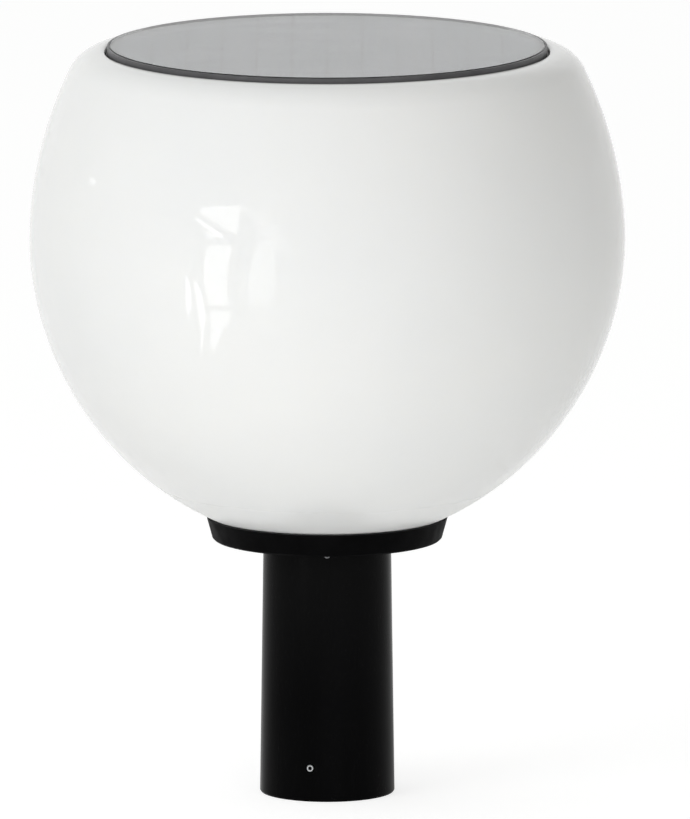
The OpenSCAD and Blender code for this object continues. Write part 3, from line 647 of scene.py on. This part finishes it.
# The four corners of an LED: on which side of its middle each is, and at what angle its rounding starts
CORNERS = ((1, 1, 0), (-1, 1, 90), (-1, -1, 180), (1, -1, 270))
CORNER_STEPS = 4
# The two rings of LEDs: how many, how far out, and how far the first is turned, in shares of their pitch
LED_RINGS = (
    (20, led_board_high.x - LED_EDGE - LED_W / 2, 0.5),
    (14, led_in_r + LED_EDGE + LED_W / 2, 0.0),
)


def led_shape(bm, angle, radius, corner, steps):
    """One LED shape under the board, at an angle and distance from its middle."""
    out = Vector((math.cos(angle), math.sin(angle), 0))
    along = Vector((-math.sin(angle), math.cos(angle), 0))
    top = out * radius + Vector((0, 0, led_board_low.z))
    loops = []
    for width_share, drop_share in steps:
        half = width_share * LED_W / 2
        rounding = min(corner, half)
        drop = Vector((0, 0, drop_share * LED_T))
        loop = []
        for side_x, side_y, start in CORNERS:
            middle = (side_x * (half - rounding), side_y * (half - rounding))
            for step in range(CORNER_STEPS):
                x, y = polar(middle, rounding, start + 90 * step / (CORNER_STEPS - 1))
                loop.append(bm.verts.new(top + out * x + along * y - drop))
        loops.append(loop)
    skin(bm, loops)


def leds(name, slot, corner, steps):
    """The same shape for every LED of both rings."""
    bm = bmesh.new()
    for count, radius, first in LED_RINGS:
        for i in range(count):
            led_shape(bm, 2 * math.pi * (i + first) / count, radius, corner, steps)
    obj = new_piece(name, bm, slot, "solar_head")
    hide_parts("leds")


# Moulded bodies with a sloping bowl, and the phosphor that fills each bowl
leds("led_bodies", "white_plastic", BODY_CORNER, BODY_STEPS)
leds("led_fills", "led_phosphor", FILL_CORNER, FILL_STEPS)


# Backdrop and floor

WHITE = (1.0, 1.0, 1.0)
# How strong the world's light is from left to right and from front to back, and between which directions that
# changes
SIDE_STRENGTH = (1.24, 0.36)
SIDE_RANGE = (-0.3, 0.9)
DEPTH_STRENGTH = (0.38, 0.78)
DEPTH_RANGE = (-0.5, 0.5)
# Between which directions gloss starts to see white behind the product, and stops seeing it over the horizon
BEHIND_RANGE = (0.7, 0.9)
LOW_RANGE = (0.0, 0.8)
COOL = (0.985, 1.0, 0.995)
WARM = (1.0, 0.965, 0.9)
FLOOR_R = 12.0
FLOOR_SIDES = 64
FLOOR_GLOW = 0.72
FLOOR_SEEN = (0.45, 0.45, 0.45)
FLOOR_REAL = (0.9, 0.9, 0.89)


def backdrop_world():
    """A pale room, dimmer to the front and right. The camera sees white, as gloss does low and behind."""
    world = bpy.context.scene.world or bpy.data.worlds.new("World")
    bpy.context.scene.world = world
    tree = Tree(world)
    where = tree.add("ShaderNodeTexCoord").outputs["Generated"]
    x, y, z = tree.add("ShaderNodeSeparateXYZ", {"Vector": where}).outputs
    side = tree.remap(x, *SIDE_RANGE, *SIDE_STRENGTH)
    depth = tree.remap(y, *DEPTH_RANGE, *DEPTH_STRENGTH)
    light = tree.shader("ShaderNodeBackground", tree.mix(x, COOL, WARM), tree.math("MULTIPLY", side, depth))
    white = tree.shader("ShaderNodeBackground", WHITE)
    behind = tree.remap(y, *BEHIND_RANGE, 0.0, 1.0)
    low_down = tree.remap(z, *LOW_RANGE, 1.0, 0.0)
    mirrored = tree.seen_by("Is Glossy Ray", "Is Transmission Ray")
    mirrored = tree.math("MULTIPLY", tree.math("MAXIMUM", behind, low_down), mirrored)
    shown = tree.math("MAXIMUM", mirrored, tree.seen_by("Is Camera Ray"))
    tree.add("ShaderNodeOutputWorld", {"Surface": tree.shader("ShaderNodeMixShader", shown, light, white)})


def floor_material():
    """Pale floor that keeps its shadow and is white elsewhere to the camera, gloss and glass."""
    mat = bpy.data.materials.new("floor")
    tree = Tree(mat)
    glow = tree.shader("ShaderNodeEmission", WHITE, FLOOR_GLOW)
    seen = tree.shader("ShaderNodeAddShader", glow, tree.shader("ShaderNodeBsdfDiffuse", FLOOR_SEEN))
    real = tree.shader("ShaderNodeBsdfDiffuse", FLOOR_REAL)
    shown = tree.seen_by("Is Camera Ray", "Is Glossy Ray", "Is Transmission Ray")
    tree.add("ShaderNodeOutputMaterial", {"Surface": tree.shader("ShaderNodeMixShader", shown, real, seen)})
    return mat


bpy.context.scene.view_settings.view_transform = "Standard"
backdrop_world()

bm = bmesh.new()
bmesh.ops.create_circle(bm, cap_ends=True, segments=FLOOR_SIDES, radius=FLOOR_R)
floor = in_scene("floor", new_mesh("floor", bm, floor_material()))


# Lamps

GLOBE_MIDDLE = (0.0, 0.0, 0.28)
SLEEVE_FRONT = (0.0, -0.05, 0.12)
# Each soft lamp: its place, what it is aimed at, its width and height, and its power in watts
LAMPS = (
    ("key", (-2.4, -2.0, 1.6), GLOBE_MIDDLE, (1.8, 1.8), 25.7),
    ("fill", (0.7, -3.0, 0.8), GLOBE_MIDDLE, (2.4, 1.3), 29.5),
    ("low", (-0.9, -1.8, 0.1), GLOBE_MIDDLE, (1.6, 0.16), 1.6),
    ("card", (0.02, -0.22, 0.012), SLEEVE_FRONT, (0.6, 0.1), 0.1),
)


def area(name, place, aim, size, watts):
    """A lamp that lights the product and isn't mirrored in it."""
    data = bpy.data.lights.new(name, "AREA")
    data.shape = "RECTANGLE"
    data.size = size[0]
    data.size_y = size[1]
    data.energy = watts
    lamp = in_scene(name, data)
    lamp.location = place
    lamp.rotation_mode = "QUATERNION"
    lamp.rotation_quaternion = (Vector(aim) - Vector(place)).to_track_quat("-Z", "Y")
    lamp.visible_camera = False
    lamp.visible_glossy = False


for lamp in LAMPS:
    area(*lamp)


# Camera at the photograph's angle, far enough off to keep its upright lines parallel

PHOTO_W = 690
PHOTO_H = 819
PIXEL = 0.5038 * MM
ELEVATION = math.radians(9.5)
LENS = 1000.0
SENSOR = 36.0
AXIS_X = 327.2
MIDDLE_Z = 0.1949
CLIP_START = 0.1
CLIP_END = 60.0

camera_data = bpy.data.cameras.new("camera")
camera = in_scene("camera", camera_data)
bpy.context.scene.camera = camera
camera_data.lens = LENS
camera_data.sensor_width = SENSOR
camera_data.clip_start = CLIP_START
camera_data.clip_end = CLIP_END
distance = PHOTO_H * PIXEL * LENS / SENSOR
picture_middle = Vector(((PHOTO_W / 2 - AXIS_X) * PIXEL, 0.0, MIDDLE_Z))
camera.location = picture_middle + distance * Vector((0.0, -math.cos(ELEVATION), math.sin(ELEVATION)))
camera.rotation_euler = (math.pi / 2 - ELEVATION, 0.0, 0.0)


# The room's window, which the polished shell mirrors: glowing panes on a sheet to the left of the camera.
# Each pane has its strength and the picture points at which the photograph shows its mirror image.

WINDOW_AZIMUTH = 43.0
WINDOW_DISTANCE = 0.42
WINDOW = (
    ("main", 4.6, (
        (208, 245), (233, 245), (228, 272), (229, 292), (231, 304), (210, 304), (206, 288), (205, 263))),
    ("foot", 4.2, (
        (211, 309), (232, 309), (233, 323), (226, 327), (220, 340), (215, 350), (210, 346), (212, 326))),
    ("fan", 4.6, ((201, 207), (219, 206), (240, 206), (239, 216), (237, 236), (200, 212))),
    ("slat_1", 5.8, ((195, 219), (199, 217), (224, 236), (222, 239))),
    ("slat_2", 4.8, ((203, 231), (210, 230), (219, 237), (211, 239))),
    ("strip_1", 6.0, ((187, 276), (190, 282), (192, 298), (191, 315), (187, 315), (185, 295))),
    ("strip_2", 5.0, (
        (195, 281), (199, 282), (205, 301), (207, 317), (204, 347), (200, 344), (202, 330), (197, 301))),
    ("side", 3.0, ((257, 242), (273, 242), (275, 277), (273, 304), (249, 304), (249, 282), (252, 259))),
    ("gable", 2.1, (
        (241, 206), (257, 213), (278, 231), (296, 250), (276, 253), (258, 235), (255, 222), (241, 214))),
    ("side_foot", 1.4, ((249, 308), (275, 308), (272, 332), (251, 332))),
    ("glint", 3.2, ((89, 178), (95, 178), (96, 184), (90, 184))),
)
# The strip of light down the left of the black sleeve comes from one more pane, low down and close by
STRIP_AZIMUTH = 126.0
STRIP_DISTANCE = 0.15
STRIP = ("post_strip", 1.1, ((265, 545), (270.5, 545), (270.5, 752), (265, 752)))
PANE_FLOOR = 4 * MM


def globe_normal(place):
    """The way out of the globe's smooth section at a point on its outside."""
    from_axis = math.hypot(place.x, place.y)
    off = {}
    for middle, radius in ((LOWER_MIDDLE, LOWER_R), (BELT_MIDDLE, BELT_R), (UPPER_MIDDLE, UPPER_R)):
        off[middle] = abs(math.hypot(from_axis / MM - middle[0], place.z / MM - middle[1]) - radius)
    nearest = min(off, key=off.get)
    out = from_axis / MM - nearest[0]
    up = place.z / MM - nearest[1]
    return Vector((place.x / from_axis * out, place.y / from_axis * out, up)).normalized()


def sleeve_normal(place):
    """The way out of the sleeve, whose slight taper is left out."""
    return Vector((place.x, place.y, 0.0)).normalized()


def mirror_ray(x, y, mirror, normal):
    """Where the camera's ray through a picture point meets a piece, and the way it is mirrored there."""
    right = Vector((1.0, 0.0, 0.0))
    up = Vector((0.0, math.sin(ELEVATION), math.cos(ELEVATION)))
    target = picture_middle + (x - PHOTO_W / 2) * PIXEL * right + (PHOTO_H / 2 - y) * PIXEL * up
    way = (target - camera.location).normalized()
    place = mirror.ray_cast(camera.location, way)[1]
    return place, way.reflect(normal(place))


def pane(name, strength, corners, azimuth, sheet_distance, mirror, normal):
    """A glowing pane on the upright sheet at that azimuth and distance, seen only in gloss."""
    toward = math.radians(azimuth)
    flat = Vector((-math.sin(toward), -math.cos(toward), 0.0))
    bm = bmesh.new()
    verts = []
    for x, y in corners:
        place, way = mirror_ray(x, y, mirror, normal)
        end = place + way * ((sheet_distance - place.dot(flat)) / way.dot(flat))
        verts.append(bm.verts.new((end.x, end.y, max(end.z, PANE_FLOOR))))
    bm.faces.new(verts)
    mat = bpy.data.materials.new("pane_" + name)
    tree = Tree(mat)
    tree.add("ShaderNodeOutputMaterial", {"Surface": tree.shader("ShaderNodeEmission", Strength=strength)})
    obj = in_scene("pane_" + name, new_mesh("pane_" + name, bm, mat))
    obj.visible_camera = False
    obj.visible_diffuse = False
    obj.visible_transmission = False
    obj.visible_shadow = False


bpy.context.view_layer.update()
for entry in WINDOW:
    pane(*entry, WINDOW_AZIMUTH, WINDOW_DISTANCE, globe, globe_normal)
pane(*STRIP, STRIP_AZIMUTH, STRIP_DISTANCE, nodes["sleeve"], sleeve_normal)
